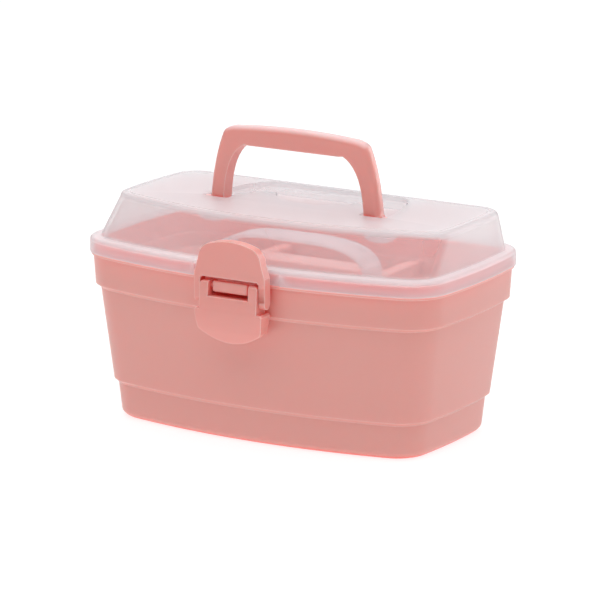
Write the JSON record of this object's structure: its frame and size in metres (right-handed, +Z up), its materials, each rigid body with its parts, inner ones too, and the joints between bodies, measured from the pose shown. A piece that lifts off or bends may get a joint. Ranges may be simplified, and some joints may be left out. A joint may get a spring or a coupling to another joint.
{
  "type": "sewing box with tray",
  "caption": "Carry box for sewing supplies: stepped tapered tub, translucent domed hinged lid with fold-down handle and front toggle latch, and a lift-out divided tray with strap handle.",
  "frame": {"origin": "middle of the box's width and of the carry handle's depth, on the flat base face", "axes": "+Z up; -Y is the front with the latch; the hinge is at the back along X, which is the long side"},
  "size_m": [0.27, 0.1704, 0.197],
  "materials": {
    "pink_plastic": "satin moulded polypropylene, salmon pink",
    "milky_plastic": "milky translucent polypropylene, satin",
    "steel": "drawn wire"
  },
  "bodies": {
    "tub": {"tub": "pink_plastic", "hinge_pin_left": "steel", "hinge_pin_right": "steel"},
    "lid": {"lid": "milky_plastic"},
    "carry_handle": {"carry_handle": "pink_plastic"},
    "latch_lever": {"latch_lever": "pink_plastic"},
    "latch_hasp": {"latch_hasp": "pink_plastic"},
    "tray": {"tray": "pink_plastic", "tray_handle": "milky_plastic"}
  },
  "joints": [
    {"name": "lid_hinge", "type": "hinge", "parent": "tub", "child": "lid", "pos_m": [0, 0.081, 0.112], "axis": [-1, 0, 0], "range_deg": [0, 105]},
    {"name": "handle_fold", "type": "hinge", "parent": "lid", "child": "carry_handle", "pos_m": [0, 0, 0.144], "axis": [-1, 0, 0], "range_deg": [0, 90]},
    {"name": "lever_swing", "type": "hinge", "parent": "tub", "child": "latch_lever", "pos_m": [0, -0.079, 0.1078], "axis": [-1, 0, 0], "range_deg": [0, 90]},
    {"name": "hasp_swing", "type": "hinge", "parent": "latch_lever", "child": "latch_hasp", "pos_m": [0, -0.0785, 0.0995], "axis": [1, 0, 0], "range_deg": [0, 100]},
    {"name": "tray_lift", "type": "slide", "parent": "tub", "child": "tray", "axis": [0, 0, 1], "range_m": [0, 0.063]}
  ],
  "couplings": [
    {"joint": "hasp_swing", "follows": "lever_swing", "ratio": 1.1},
    {"joint": "tray_lift", "follows": "lid_hinge", "m_per_rad": 0.034}
  ]
}
